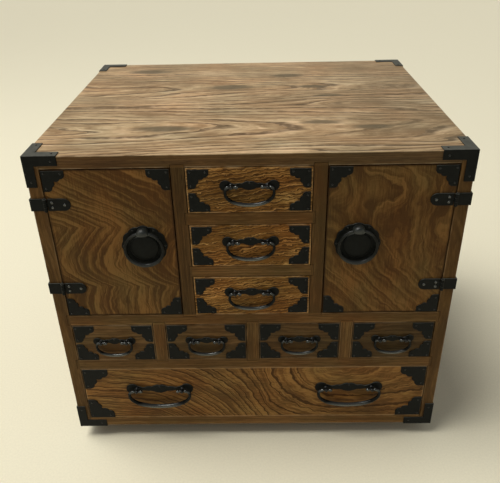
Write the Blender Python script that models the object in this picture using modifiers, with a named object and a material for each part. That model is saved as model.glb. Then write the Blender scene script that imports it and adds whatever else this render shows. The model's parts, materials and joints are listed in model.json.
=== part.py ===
"""A small Japanese sewing chest: eight drawers, two doors, and black iron hinges, bails and ring pulls.

Metres, +Z up. The front faces -Y. The origin is on the floor, under the middle of the bounding box.
"""

import math
from typing import NamedTuple

import bmesh
import bpy
from mathutils import Matrix, Vector


class Handle(NamedTuple):
    """The sizes of one bail handle and its plate."""

    rise: float
    post_spacing: float
    stand_off: float
    ear_overhang: float
    ear_radius: float
    waist: float
    lobe_width: float
    lobe_height: float
    bail_overhang: float
    bail_drop: float
    wire: float


# Case
CASE_WIDTH = 0.450
CASE_DEPTH = 0.350
CASE_HEIGHT = 0.380
BOARD = 0.014
HOUSING = 0.003
BACK_THICKNESS = 0.006
BACK_REBATE = 0.006
RUNNER_HEIGHT = 0.020
RUNNER_WIDTH = 0.026
RUNNER_INSET = 0.030
RUNNER_SETBACK = 0.030

# Openings
CENTRE_BAY = 0.130
SMALL_ROW = 0.054
BOTTOM_ROW = 0.084
CENTRE_ROWS = 3
SMALL_DRAWERS = 4

# Drawers and doors
DRAWER_FRONT = 0.015
DRAWER_SIDE = 0.008
DRAWER_FLOOR = 0.005
DRAWER_BACK_DROP = 0.006
DOOR_THICKNESS = 0.014
STOP_WIDTH = 0.008
STOP_DEPTH = 0.010

# Clearances
FIT = 0.0003
DRAWER_GAP = 0.0008
DRAWER_REAR_GAP = 0.001
DOOR_GAP = 0.001
EYE_CLEARANCE = 0.0004

# Hinges
HINGE_SPACING = 0.1064
HINGE_HEIGHT = 0.014
HINGE_IRON = 0.0012
HINGE_WRAP = 0.022
STRAP_REACH = 0.026
STRAP_TIP_ARC = 75
BARREL_RADIUS = 0.002
PIN_RADIUS = 0.001
KNUCKLE = 0.0044

# Bail handles
PLATE_IRON = 0.0012
POST_RADIUS = 0.0028
POST_CAP = 0.0013
BAIL_PIN_RADIUS = 0.0013
KNOB_RADIUS = 0.0021
KNOB_LENGTH = 0.0028
SHOULDER = 0.006
CENTRE_HANDLE = Handle(
    rise=0.0055,
    post_spacing=0.037,
    stand_off=0.0045,
    ear_overhang=0.012,
    ear_radius=0.006,
    waist=0.0048,
    lobe_width=0.031,
    lobe_height=0.0100,
    bail_overhang=0.0085,
    bail_drop=0.0225,
    wire=0.0042,
)
SMALL_HANDLE = Handle(
    rise=0.0030,
    post_spacing=0.030,
    stand_off=0.0042,
    ear_overhang=0.010,
    ear_radius=0.005,
    waist=0.0040,
    lobe_width=0.0255,
    lobe_height=0.0084,
    bail_overhang=0.0075,
    bail_drop=0.0205,
    wire=0.0038,
)
BOTTOM_HANDLE = Handle(
    rise=0.0085,
    post_spacing=0.056,
    stand_off=0.0055,
    ear_overhang=0.0135,
    ear_radius=0.0078,
    waist=0.0064,
    lobe_width=0.042,
    lobe_height=0.0130,
    bail_overhang=0.0120,
    bail_drop=0.0275,
    wire=0.0050,
)
BOTTOM_HANDLE_INSET = 0.094
PLATE_STEPS = 4
EAR_ARC = 140
CUSP_SHARE = 0.8
LOBE_SHIFT = 0.7
KNOB_TIP_SHARE = 0.6
KNOB_TAPER = 0.25
BAIL_END_SHARE = 0.36
BAIL_SWELLING = 0.14
BAIL_SQUARENESS = 0.92
SHOULDER_ANGLES = (60, 30, 0)
BAIL_ANGLES = (20, 38, 54, 70)

# Ring pulls
RING_EDGE_DISTANCE = 0.0345
RING_PLATE_RADIUS = 0.0247
RING_PLATE_LOBES = 12
RING_LOBE_DEPTH = 0.0013
RING_PLATE_RISE = 0.002
DISC_RADIUS = 0.0155
DISC_HEIGHT = 0.0032
RING_RADIUS = 0.0202
RING_WIRE = 0.0044
RING_STAND_OFF = 0.0058
BOSS_RADIUS = 0.0066
BOSS_CAP = 0.0026
RING_STEPS = 26
LOBE_STEPS = 4

# Turned profiles, as shares of the radius and the height
DISC_PROFILE = ((0, 0), (1, 0), (1, 0.35), (0.93, 0.75), (0.75, 0.95), (0, 1))
BOSS_PROFILE = ((0, 0), (1, 0), (1, 0.55), (0.87, 0.8), (0.5, 0.96), (0, 1))

# Round pieces
ROUND_SIDES = 12
DISC_SIDES = 24

# Places worked out from the sizes
EYE_RADIUS = BAIL_PIN_RADIUS + EYE_CLEARANCE
BOSS_EYE_RADIUS = RING_WIRE / 2 + EYE_CLEARANCE
BOSS_PROJECTION = RING_STAND_OFF + BOSS_EYE_RADIUS + BOSS_CAP
LONGEST_POST = max(sizes.stand_off for sizes in (CENTRE_HANDLE, SMALL_HANDLE, BOTTOM_HANDLE))
POST_PROJECTION = LONGEST_POST + EYE_RADIUS + POST_CAP
FRONT = -(CASE_DEPTH - max(BOSS_PROJECTION, POST_PROJECTION)) / 2
BACK = FRONT + CASE_DEPTH
INNER_BACK = BACK - BACK_THICKNESS - FIT
OUTER = CASE_WIDTH / 2
INNER = OUTER - BOARD
CENTRE = CENTRE_BAY / 2
CASE_BOTTOM = RUNNER_HEIGHT
BOTTOM_TOP = CASE_BOTTOM + BOARD
LOWER_SHELF = BOTTOM_TOP + BOTTOM_ROW
LOWER_SHELF_TOP = LOWER_SHELF + BOARD
UPPER_SHELF = LOWER_SHELF_TOP + SMALL_ROW
UPPER_SHELF_TOP = UPPER_SHELF + BOARD
CASE_TOP = CASE_BOTTOM + CASE_HEIGHT
TOP_UNDER = CASE_TOP - BOARD
UPPER_ROW = TOP_UNDER - UPPER_SHELF_TOP
CENTRE_ROW = (UPPER_ROW - (CENTRE_ROWS - 1) * BOARD) / CENTRE_ROWS
SMALL_BAY = (2 * INNER - (SMALL_DRAWERS - 1) * BOARD) / SMALL_DRAWERS

spans = {}


def clear_scene():
    for obj in list(bpy.data.objects):
        bpy.data.objects.remove(obj)


def new_collection(name):
    collection = bpy.data.collections.new(name)
    bpy.context.scene.collection.children.link(collection)
    return collection


def new_material(name, colour, roughness, metallic):
    material = bpy.data.materials.new(name)
    material.use_nodes = True
    shader = material.node_tree.nodes["Principled BSDF"]
    shader.inputs["Base Color"].default_value = (*colour, 1.0)
    shader.inputs["Roughness"].default_value = roughness
    shader.inputs["Metallic"].default_value = metallic
    return material


clear_scene()
CHEST = new_collection("sewing_chest")
CUTTERS = new_collection("cutters")
CASE_WOOD = new_material("case_wood", (0.062, 0.030, 0.014), 0.42, 0.0)
FRONT_WOOD = new_material("front_wood", (0.130, 0.055, 0.021), 0.40, 0.0)
HIDDEN_WOOD = new_material("hidden_wood", (0.210, 0.130, 0.070), 0.60, 0.0)
BLACK_IRON = new_material("black_iron", (0.012, 0.012, 0.013), 0.38, 0.8)


def new_object(name, data):
    obj = bpy.data.objects.new(name, data)
    CHEST.objects.link(obj)
    return obj


def finished(obj, material, smooth=False):
    """Gives a piece its material, and smooth shading if it is round."""
    obj.data.materials.clear()
    obj.data.materials.append(material)
    if smooth and obj.type == "MESH":
        obj.data.shade_smooth()
    return obj


def box(name, x, y, z):
    """A box between the pairs of coordinates x, y and z."""
    spans[name] = (x, y, z)
    low, high = (Vector(corner) for corner in zip(x, y, z))
    mesh = bpy.data.meshes.new(name)
    shape = bmesh.new()
    bmesh.ops.create_cube(shape, size=1.0, matrix=Matrix.Diagonal((*(high - low), 1.0)))
    shape.to_mesh(mesh)
    shape.free()
    obj = new_object(name, mesh)
    obj.location = (low + high) / 2
    return obj


def cylinder(name, radius, length, centre, along, sides=ROUND_SIDES):
    """A cylinder with its middle at centre and its axis along X, Y or Z."""
    mesh = bpy.data.meshes.new(name)
    shape = bmesh.new()
    bmesh.ops.create_cone(
        shape, cap_ends=True, segments=sides, radius1=radius, radius2=radius, depth=length
    )
    shape.to_mesh(mesh)
    shape.free()
    obj = new_object(name, mesh)
    obj.location = centre
    obj.rotation_euler = Vector((0, 0, 1)).rotation_difference(Vector(along)).to_euler()
    return obj


def as_mesh(curve_object):
    """Turns a curve object into a closed mesh object of the same name and place."""
    bpy.context.view_layer.update()
    graph = bpy.context.evaluated_depsgraph_get()
    mesh = bpy.data.meshes.new_from_object(curve_object.evaluated_get(graph))
    name, place = curve_object.name, curve_object.matrix_world.copy()
    bpy.data.objects.remove(curve_object)
    shape = bmesh.new()
    shape.from_mesh(mesh)
    bmesh.ops.remove_doubles(shape, verts=shape.verts, dist=1e-6)
    shape.to_mesh(mesh)
    shape.free()
    obj = new_object(name, mesh)
    obj.matrix_world = place
    return obj


def outline(name, points, thickness, centre):
    """A flat piece facing -Y, cut to an outline of (x, z) points round its centre."""
    curve = bpy.data.curves.new(name, "CURVE")
    curve.dimensions = "2D"
    curve.fill_mode = "BOTH"
    curve.extrude = thickness / 2
    spline = curve.splines.new("POLY")
    spline.points.add(len(points) - 1)
    for point, (x, z) in zip(spline.points, points):
        point.co = (x, z, 0, 1)
    spline.use_cyclic_u = True
    obj = new_object(name, curve)
    obj.location = centre
    obj.rotation_euler = (math.radians(90), 0, 0)
    return as_mesh(obj)


def tube(name, points, radii, centre, closed=False):
    """A round wire through (x, z) points in the XZ plane, with a radius at each point."""
    curve = bpy.data.curves.new(name, "CURVE")
    curve.dimensions = "3D"
    curve.bevel_depth = max(radii)
    curve.bevel_resolution = 2
    curve.use_fill_caps = True
    spline = curve.splines.new("POLY")
    spline.points.add(len(points) - 1)
    for point, (x, z), radius in zip(spline.points, points, radii):
        point.co = (x, 0, z, 1)
        point.radius = radius / curve.bevel_depth
    spline.use_cyclic_u = closed
    obj = new_object(name, curve)
    obj.location = centre
    return as_mesh(obj)


def turned(name, profile, radius, height, centre):
    """A round piece standing out along -Y, turned from a profile that starts and ends on its axis."""
    mesh = bpy.data.meshes.new(name)
    shape = bmesh.new()
    points = [shape.verts.new((out * radius, 0, up * height)) for out, up in profile]
    for start, end in zip(points, points[1:]):
        shape.edges.new((start, end))
    shape.to_mesh(mesh)
    shape.free()
    obj = new_object(name, mesh)
    obj.location = centre
    obj.rotation_euler = (math.radians(90), 0, 0)
    screw = obj.modifiers.new("turn", "SCREW")
    screw.steps = DISC_SIDES
    screw.render_steps = DISC_SIDES
    screw.use_merge_vertices = True
    screw.merge_threshold = 1e-5
    screw.use_normal_calculate = True
    return obj


def boolean(obj, other, operation):
    modifier = obj.modifiers.new(other.name, "BOOLEAN")
    modifier.object = other
    modifier.operation = operation
    modifier.solver = "EXACT"
    CHEST.objects.unlink(other)
    CUTTERS.objects.link(other)
    other.hide_render = True
    other.display_type = "WIRE"


def fuse(obj, *others):
    for other in others:
        boolean(obj, other, "UNION")


def cut(obj, *others):
    for other in others:
        boolean(obj, other, "DIFFERENCE")


def house(board, *pieces):
    """Cuts into a board the housing of each piece that it takes, a fit wider than the piece."""
    for piece in pieces:
        grown = [(low - FIT, high + FIT) for low, high in spans[piece.name]]
        cut(board, box(f"{board.name}_housing_of_{piece.name}", *grown))


def joint(name, place, *pieces):
    """An empty on a joint's axis, carrying the pieces that move on it."""
    empty = new_object(name, None)
    empty.location = place
    empty.empty_display_size = 0.02
    bpy.context.view_layer.update()
    for piece in pieces:
        piece.parent = empty
        piece.matrix_parent_inverse = empty.matrix_world.inverted()
    return empty


def mirrored(side, low, high):
    """A pair of X coordinates on the left (-1) or the right (1), from distances off the middle."""
    return (low, high) if side > 0 else (-high, -low)


def make_case():
    depth = (FRONT, BACK)
    inside = (FRONT, INNER_BACK)
    top = box("top_board", (-OUTER, OUTER), depth, (TOP_UNDER, CASE_TOP))
    bottom = box("bottom_board", (-OUTER, OUTER), depth, (CASE_BOTTOM, BOTTOM_TOP))
    side_height = (BOTTOM_TOP - HOUSING, TOP_UNDER + HOUSING)
    sides = [
        box("left_side", (-OUTER, -INNER), depth, side_height),
        box("right_side", (INNER, OUTER), depth, side_height),
    ]
    shelf_width = (-INNER - HOUSING, INNER + HOUSING)
    upper = box("upper_shelf", shelf_width, inside, (UPPER_SHELF, UPPER_SHELF_TOP))
    lower = box("lower_shelf", shelf_width, inside, (LOWER_SHELF, LOWER_SHELF_TOP))
    divider_height = (UPPER_SHELF_TOP - HOUSING, TOP_UNDER + HOUSING)
    dividers = [
        box("left_divider", (-CENTRE - BOARD, -CENTRE), inside, divider_height),
        box("right_divider", (CENTRE, CENTRE + BOARD), inside, divider_height),
    ]
    rail_width = (-CENTRE - HOUSING, CENTRE + HOUSING)
    rails = []
    for row in range(1, CENTRE_ROWS):
        under = TOP_UNDER - row * (CENTRE_ROW + BOARD)
        rails.append(box(f"centre_rail_{row}", rail_width, inside, (under, under + BOARD)))
    partition_height = (LOWER_SHELF_TOP - HOUSING, UPPER_SHELF + HOUSING)
    partitions = []
    for number in range(1, SMALL_DRAWERS):
        left = -INNER + number * SMALL_BAY + (number - 1) * BOARD
        partitions.append(
            box(f"small_partition_{number}", (left, left + BOARD), inside, partition_height)
        )
    back_height = (BOTTOM_TOP - BACK_REBATE, TOP_UNDER + BACK_REBATE)
    back_width = (-INNER - BACK_REBATE, INNER + BACK_REBATE)
    back = box("back_panel", back_width, (BACK - BACK_THICKNESS, BACK), back_height)

    house(top, *sides, *dividers, back)
    house(bottom, *sides, back)
    for side in sides:
        house(side, upper, lower, back)
    house(upper, *dividers, *partitions)
    house(lower, *partitions)
    for divider in dividers:
        house(divider, *rails)
    for piece in (top, bottom, *sides, upper, lower, *dividers, *rails, *partitions):
        finished(piece, CASE_WOOD)
    finished(back, HIDDEN_WOOD)


def make_runners():
    inner = OUTER - RUNNER_INSET - RUNNER_WIDTH
    depth = (FRONT + RUNNER_SETBACK, BACK - RUNNER_SETBACK)
    for name, side in (("left_runner", -1), ("right_runner", 1)):
        width = mirrored(side, inner, inner + RUNNER_WIDTH)
        finished(box(name, width, depth, (0, RUNNER_HEIGHT - FIT)), CASE_WOOD)


def drawer(name, x, z):
    """A drawer that fills the opening between the pairs x and z: a front, sides, a back and a floor."""
    width = (x[0] + DRAWER_GAP, x[1] - DRAWER_GAP)
    height = (z[0] + FIT, z[1] - DRAWER_GAP)
    rear = INNER_BACK - DRAWER_REAR_GAP
    over = height[1] + DRAWER_GAP
    obj = box(name, width, (FRONT, rear), height)
    hollow_width = (width[0] + DRAWER_SIDE, width[1] - DRAWER_SIDE)
    hollow_depth = (FRONT + DRAWER_FRONT, rear - DRAWER_SIDE)
    hollow = box(f"{name}_hollow", hollow_width, hollow_depth, (height[0] + DRAWER_FLOOR, over))
    low_back_depth = (rear - 2 * DRAWER_SIDE, rear + DRAWER_GAP)
    low_back = box(
        f"{name}_low_back", hollow_width, low_back_depth, (height[1] - DRAWER_BACK_DROP, over)
    )
    cut(obj, hollow, low_back)
    return finished(obj, FRONT_WOOD)


def arc(centre, radius, start, end, steps):
    """Points on an arc between two angles in degrees."""
    turns = [math.radians(start + (end - start) * i / steps) for i in range(steps + 1)]
    return [(centre[0] + radius * math.cos(a), centre[1] + radius * math.sin(a)) for a in turns]


def swell(distance, reach):
    """A smooth bump that is 1 at no distance and 0 at its reach."""
    return math.cos(math.pi / 2 * min(distance / reach, 1)) ** 2


def handle_plate_points(sizes):
    """The right half of a bat-wing plate from bottom to top, and the left half as its mirror image."""
    end = sizes.post_spacing / 2 + sizes.ear_overhang
    ear_x = end - sizes.ear_radius
    lobe = sizes.lobe_width / 2
    swelling = (sizes.lobe_height - sizes.waist) / 2
    step = lobe / PLATE_STEPS
    lower = [
        (step * i, -sizes.waist / 2 - swelling * swell(step * i, lobe)) for i in range(PLATE_STEPS + 1)
    ]
    ear = arc((ear_x, 0), sizes.ear_radius, -EAR_ARC, EAR_ARC, 2 * PLATE_STEPS)
    cusp = (0, sizes.waist / 2 + swelling * CUSP_SHARE)
    upper = [
        (step * i, sizes.waist / 2 + swelling * swell(step * (i - LOBE_SHIFT), lobe))
        for i in range(PLATE_STEPS, 0, -1)
    ]
    right = lower + ear + upper
    left = [(-x, z) for x, z in reversed(right[1:])]
    return right + [cusp] + left


def bail_path(sizes):
    """The bail's middle line and radii, from one knob through the posts to the other knob."""
    post = sizes.post_spacing / 2
    side = post + sizes.bail_overhang - sizes.wire / 2
    bottom = sizes.bail_drop - sizes.wire / 2
    inner = post - POST_RADIUS - FIT
    outer = post + POST_RADIUS + FIT
    taper = KNOB_TAPER * KNOB_LENGTH
    points = [(inner - KNOB_LENGTH, 0), (inner - KNOB_LENGTH + taper, 0), (inner - taper, 0)]
    radii = [KNOB_TIP_SHARE * KNOB_RADIUS, KNOB_RADIUS, KNOB_RADIUS]
    points += [(inner, 0), (outer, 0)]
    radii += [BAIL_PIN_RADIUS, BAIL_PIN_RADIUS]
    shoulder = side - outer
    for degrees in SHOULDER_ANGLES:
        angle = math.radians(degrees)
        points.append((outer + shoulder * math.cos(angle), SHOULDER * (math.sin(angle) - 1)))
        radii.append(BAIL_END_SHARE * sizes.wire)
    for degrees in BAIL_ANGLES:
        angle = math.radians(degrees)
        x = side * math.cos(angle) ** BAIL_SQUARENESS
        z = -SHOULDER - (bottom - SHOULDER) * math.sin(angle) ** BAIL_SQUARENESS
        points.append((x, z))
        radii.append(sizes.wire * (BAIL_END_SHARE + BAIL_SWELLING * degrees / 90))
    points.append((0, -bottom))
    radii.append(sizes.wire / 2)
    points += [(-x, z) for x, z in reversed(points[:-1])]
    radii += list(reversed(radii[:-1]))
    return points, radii


def bail_handle(name, sizes, x, z):
    """A plate with two posts, and the bail that swings in them, on a drawer front at x and z."""
    plate_y = FRONT - FIT - PLATE_IRON / 2
    axis_y = FRONT - sizes.stand_off
    plate = outline(f"{name}_plate", handle_plate_points(sizes), PLATE_IRON, (x, plate_y, z))
    post_tip = axis_y - EYE_RADIUS - POST_CAP
    for side in (-1, 1):
        post_x = x + side * sizes.post_spacing / 2
        centre = (post_x, (post_tip + plate_y) / 2, z)
        post = cylinder(f"{name}_post", POST_RADIUS, plate_y - post_tip, centre, (0, 1, 0))
        fuse(plate, post)
    eye_length = sizes.post_spacing + 4 * POST_RADIUS
    cut(plate, cylinder(f"{name}_eyes", EYE_RADIUS, eye_length, (x, axis_y, z), (1, 0, 0)))
    finished(plate, BLACK_IRON)
    points, radii = bail_path(sizes)
    bail = finished(tube(f"{name}_bail", points, radii, (x, axis_y, z)), BLACK_IRON, smooth=True)
    return plate, bail


def middle(pair):
    return (pair[0] + pair[1]) / 2


def make_drawer(name, x, z, sizes, handles):
    """A drawer with its handles, each named and placed by its distance from the drawer's middle."""
    pieces = [drawer(name, x, z)]
    for handle_name, offset in handles:
        plate, bail = bail_handle(handle_name, sizes, middle(x) + offset, middle(z) + sizes.rise)
        pieces.append(plate)
        pieces.append(joint(f"{handle_name}_pivot", bail.location, bail))
    joint(f"{name}_slide", (middle(x), FRONT, middle(z)), *pieces)


def make_drawers():
    for row in range(1, CENTRE_ROWS + 1):
        name = f"centre_drawer_{row}"
        top = TOP_UNDER - (row - 1) * (CENTRE_ROW + BOARD)
        height = (top - CENTRE_ROW, top)
        make_drawer(name, (-CENTRE, CENTRE), height, CENTRE_HANDLE, [(f"{name}_handle", 0)])
    for number in range(1, SMALL_DRAWERS + 1):
        name = f"small_drawer_{number}"
        left = -INNER + (number - 1) * (SMALL_BAY + BOARD)
        height = (LOWER_SHELF_TOP, UPPER_SHELF)
        make_drawer(name, (left, left + SMALL_BAY), height, SMALL_HANDLE, [(f"{name}_handle", 0)])
    pair_x = INNER - BOTTOM_HANDLE_INSET
    pair = [("bottom_drawer_left_handle", -pair_x), ("bottom_drawer_right_handle", pair_x)]
    make_drawer("bottom_drawer", (-INNER, INNER), (BOTTOM_TOP, LOWER_SHELF), BOTTOM_HANDLE, pair)


def hinge(name, side, z):
    """One strap hinge: a leaf with the pin, wrapped round the case's edge, and a strap for the door."""
    axis_x = INNER - DOOR_GAP / 2
    axis_y = FRONT - FIT - BARREL_RADIUS
    iron = (FRONT - FIT - HINGE_IRON, FRONT - FIT)
    height = (z - HINGE_HEIGHT / 2, z + HINGE_HEIGHT / 2)
    clear = BARREL_RADIUS + FIT
    leaf_edge = OUTER + FIT + HINGE_IRON
    leaf = box(f"{name}_leaf", mirrored(side, axis_x + clear, leaf_edge), iron, height)
    wrap_depth = (iron[0], FRONT + HINGE_WRAP)
    fuse(leaf, box(f"{name}_wrap", mirrored(side, OUTER + FIT, leaf_edge), wrap_depth, height))
    gap = KNUCKLE / 2 + FIT
    for end, low, high in (("low", height[0], z - gap), ("high", z + gap, height[1])):
        web = mirrored(side, axis_x, axis_x + 2 * clear)
        knuckle_centre = (side * axis_x, axis_y, (low + high) / 2)
        knuckle = cylinder(f"{name}_{end}_knuckle", BARREL_RADIUS, high - low, knuckle_centre, (0, 0, 1))
        fuse(leaf, knuckle, box(f"{name}_{end}_web", web, iron, (low, high)))
    pin_place = (side * axis_x, axis_y, z)
    fuse(leaf, cylinder(f"{name}_pin", PIN_RADIUS, HINGE_HEIGHT + 2 * PIN_RADIUS, pin_place, (0, 0, 1)))
    finished(leaf, BLACK_IRON)

    tip = HINGE_HEIGHT / 2
    start = clear
    points = [(start, -tip), (STRAP_REACH - tip, -tip)]
    points += arc((STRAP_REACH - tip, 0), tip, -STRAP_TIP_ARC, STRAP_TIP_ARC, 8)
    points += [(STRAP_REACH - tip, tip), (start, tip)]
    if side > 0:
        points = [(-x, height) for x, height in reversed(points)]
    strap = outline(f"{name}_strap", points, HINGE_IRON, (side * axis_x, middle(iron), z))
    middle_height = (z - KNUCKLE / 2, z + KNUCKLE / 2)
    tab = mirrored(side, axis_x - 2 * clear, axis_x - PIN_RADIUS - 2 * FIT)
    barrel = cylinder(f"{name}_barrel", BARREL_RADIUS, KNUCKLE, pin_place, (0, 0, 1))
    fuse(strap, barrel, box(f"{name}_tab", tab, iron, middle_height))
    bore_radius = PIN_RADIUS + FIT
    cut(strap, cylinder(f"{name}_bore", bore_radius, 2 * KNUCKLE, pin_place, (0, 0, 1)))
    finished(strap, BLACK_IRON)
    return strap


def ring_path(boss_half):
    """A ring whose top is straight where it turns in its boss, round the straight's middle."""
    drop = math.sqrt(RING_RADIUS**2 - boss_half**2)
    start = math.degrees(math.atan2(drop, boss_half))
    return arc((0, -drop), RING_RADIUS, start, -180 - start, RING_STEPS)


def ring_pull(name, x, z):
    """A scalloped plate with a raised disc and a round boss, and the ring that swings in the boss."""
    plate_y = FRONT - FIT - PLATE_IRON / 2
    axis_y = FRONT - RING_STAND_OFF
    boss_half = BOSS_RADIUS + FIT
    axis_z = z + math.sqrt(RING_RADIUS**2 - boss_half**2)
    count = RING_PLATE_LOBES * LOBE_STEPS
    points = []
    for i in range(count):
        angle = 2 * math.pi * i / count
        dip = RING_LOBE_DEPTH * (1 - abs(math.cos(RING_PLATE_LOBES * angle / 2)))
        radius = RING_PLATE_RADIUS - dip
        points.append((radius * math.sin(angle), radius * math.cos(angle)))
    plate = outline(f"{name}_plate", points, PLATE_IRON, (x, plate_y, z + RING_PLATE_RISE))
    disc = turned(f"{name}_disc", DISC_PROFILE, DISC_RADIUS, DISC_HEIGHT, (x, plate_y, z))
    boss_height = plate_y - (FRONT - BOSS_PROJECTION)
    boss = turned(f"{name}_boss", BOSS_PROFILE, BOSS_RADIUS, boss_height, (x, plate_y, axis_z))
    fuse(plate, disc, boss)
    cut(plate, cylinder(f"{name}_eye", BOSS_EYE_RADIUS, 4 * BOSS_RADIUS, (x, axis_y, axis_z), (1, 0, 0)))
    finished(plate, BLACK_IRON)
    points = ring_path(boss_half)
    ring = tube(name, points, [RING_WIRE / 2] * len(points), (x, axis_y, axis_z), closed=True)
    return plate, finished(ring, BLACK_IRON, smooth=True)


def make_doors():
    height = (UPPER_SHELF_TOP + DOOR_GAP, TOP_UNDER - DOOR_GAP)
    inner = CENTRE + BOARD + DOOR_GAP
    outer = INNER - DOOR_GAP
    for word, side in (("left", -1), ("right", 1)):
        depth = (FRONT, FRONT + DOOR_THICKNESS)
        panel = finished(box(f"{word}_door", mirrored(side, inner, outer), depth, height), FRONT_WOOD)
        straps = [
            hinge(f"{word}_upper_hinge", side, middle(height) + HINGE_SPACING / 2),
            hinge(f"{word}_lower_hinge", side, middle(height) - HINGE_SPACING / 2),
        ]
        ring_x = side * (CENTRE + BOARD + RING_EDGE_DISTANCE)
        plate, ring = ring_pull(f"{word}_ring", ring_x, middle(height))
        ring_pivot = joint(f"{word}_ring_pivot", ring.location, ring)
        axis = (side * (INNER - DOOR_GAP / 2), FRONT - FIT - BARREL_RADIUS, middle(height))
        joint(f"{word}_door_hinge", axis, panel, *straps, plate, ring_pivot)
        stop_start = CENTRE + BOARD + FIT
        stop_depth = (depth[1] + FIT, depth[1] + FIT + STOP_DEPTH)
        stop_height = (UPPER_SHELF_TOP + FIT, TOP_UNDER - FIT)
        stop = box(
            f"{word}_door_stop",
            mirrored(side, stop_start, stop_start + STOP_WIDTH),
            stop_depth,
            stop_height,
        )
        finished(stop, CASE_WOOD)


make_case()
make_runners()
make_drawers()
make_doors()
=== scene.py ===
"""The looks of a small Japanese sewing chest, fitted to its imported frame: figured wood and black iron.

Metres, +Z up, with the front facing -Y. Materials work in millimetres of the same frame.
"""

import json
import math
from collections.abc import Callable
from functools import partialmethod
from itertools import product
from typing import NamedTuple

import bmesh
import bpy
from mathutils import Matrix, Vector


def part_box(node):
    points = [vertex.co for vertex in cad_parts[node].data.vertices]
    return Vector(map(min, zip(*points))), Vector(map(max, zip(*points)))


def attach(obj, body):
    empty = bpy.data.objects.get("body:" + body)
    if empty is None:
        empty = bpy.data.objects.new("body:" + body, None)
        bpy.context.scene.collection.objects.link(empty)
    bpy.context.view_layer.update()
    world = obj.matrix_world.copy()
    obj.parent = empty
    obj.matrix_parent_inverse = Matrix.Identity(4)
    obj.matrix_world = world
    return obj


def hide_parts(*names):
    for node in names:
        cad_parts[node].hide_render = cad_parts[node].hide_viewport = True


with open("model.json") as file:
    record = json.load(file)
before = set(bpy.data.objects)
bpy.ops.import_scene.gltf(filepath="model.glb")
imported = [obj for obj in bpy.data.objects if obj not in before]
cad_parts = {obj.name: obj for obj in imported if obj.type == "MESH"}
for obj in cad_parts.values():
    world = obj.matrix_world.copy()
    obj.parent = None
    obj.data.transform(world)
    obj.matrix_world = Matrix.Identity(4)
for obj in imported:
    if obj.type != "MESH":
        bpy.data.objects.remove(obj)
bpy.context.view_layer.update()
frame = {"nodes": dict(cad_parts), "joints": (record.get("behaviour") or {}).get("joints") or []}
NODES = frame["nodes"]
AXIS_AT = {joint["child"]: Vector(joint["pos_m"]) for joint in frame["joints"] if "pos_m" in joint}
MM = 0.001


class Handle(NamedTuple):
    """The sizes of one bail handle, as in the frame."""

    post_spacing: float
    ear_overhang: float
    ear_radius: float
    waist: float
    lobe_width: float
    lobe_height: float
    bail_overhang: float
    bail_drop: float
    wire: float


class Palette(NamedTuple):
    """The colours of one wood: the line that starts a ring, the wood from dark to light, and pale wood for
    edges, worn and with a painted highlight where they catch the light.
    """

    line: tuple
    dark: tuple
    middle: tuple
    light: tuple
    worn_and_lit: tuple = ()


class Grain(NamedTuple):
    """How one board's growth rings run, in millimetres, and how strongly they show."""

    axis: str
    spacing: float
    drift: float
    drift_size: float
    stretch: float
    wave: float
    wave_size: float
    line: float
    line_width: float
    contrast: float
    fade: float = 0.4
    fibre: float = 1.1
    broken: float = 0.0
    ring_tone: float = 0.35
    glint: float = 0.0
    hue: float = 1.0


class Mark(NamedTuple):
    """A noise on wood. The smaller its stretch, the longer its marks run along the grain."""

    stretch: float
    size: float
    detail: float
    roughness: float = 0.5


class Edge(NamedTuple):
    """How a board's edges show, with their width in millimetres, and whether its ends have them too."""

    colour: tuple
    strength: float = 0.6
    width: float = 1.5
    evenness: float = 0.0
    ends: bool = True


class DarkPlace(NamedTuple):
    """A dark place on the top board, either a stain or the broad painted shade, in millimetres: its middle,
    its half length and width, its depth.
    """

    x: float
    y: float
    length: float
    width: float
    depth: float = 0.8


class Look(NamedTuple):
    """One kind of wood on a board: its grain, its colours, the figure of its rings and where they show."""

    grain: Grain
    palette: Palette
    figure: Callable
    showing: Callable | None = None


class Patch(NamedTuple):
    """A stretch of a board that shows another wood, and how much rougher it is there."""

    where: Callable
    look: Look
    dullness: float = 0.0


# Camera, in the photograph's frame of 500 by 483 pixels, with its turn in degrees
CAMERA_PLACE = (0.00865, -0.67442, 0.61907)
CAMERA_TURN = (62.860, 1.123, 0.349)
CAMERA_LENS = 40.22
CAMERA_SHIFT_Y = -0.10406
CAMERA_NEAR = 0.01

# Floor and light
FLOOR_SIZE = 9.0
FLOOR_SQUARES = 8
FLOOR_COLOUR = (0.80, 0.76, 0.59)
FLECK_SIZE = 2.5
FLECK_SHADE = 1.06
FLECK_STOPS = (0.3, 0.7)
FLECK_ROUGHNESS = 0.1
FLOOR_ROUGHNESS = 0.85
BACKDROP_COLOUR = (0.83, 0.78, 0.62)
CEILING_COLOUR = (0.16, 0.16, 0.16)
CEILING_FROM = 0.15
CEILING_FULL = 0.50
AMBIENT = 0.26
AMBIENT_COLOUR = (1.0, 0.98, 0.95)
LAMP_COLOUR = (1.0, 0.97, 0.92)
SUN_FROM = (-1.4, -0.1, 3.4)
SUN_STRENGTH = 2.0
SUN_SPREAD = 30.0
SOFTBOX_PLACE = (-1.1, 0.1, 1.5)
SOFTBOX_AIM = (-0.1, 0.0, 0.35)
SOFTBOX_SIZE = 1.4
SOFTBOX_POWER = 10.0

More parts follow.
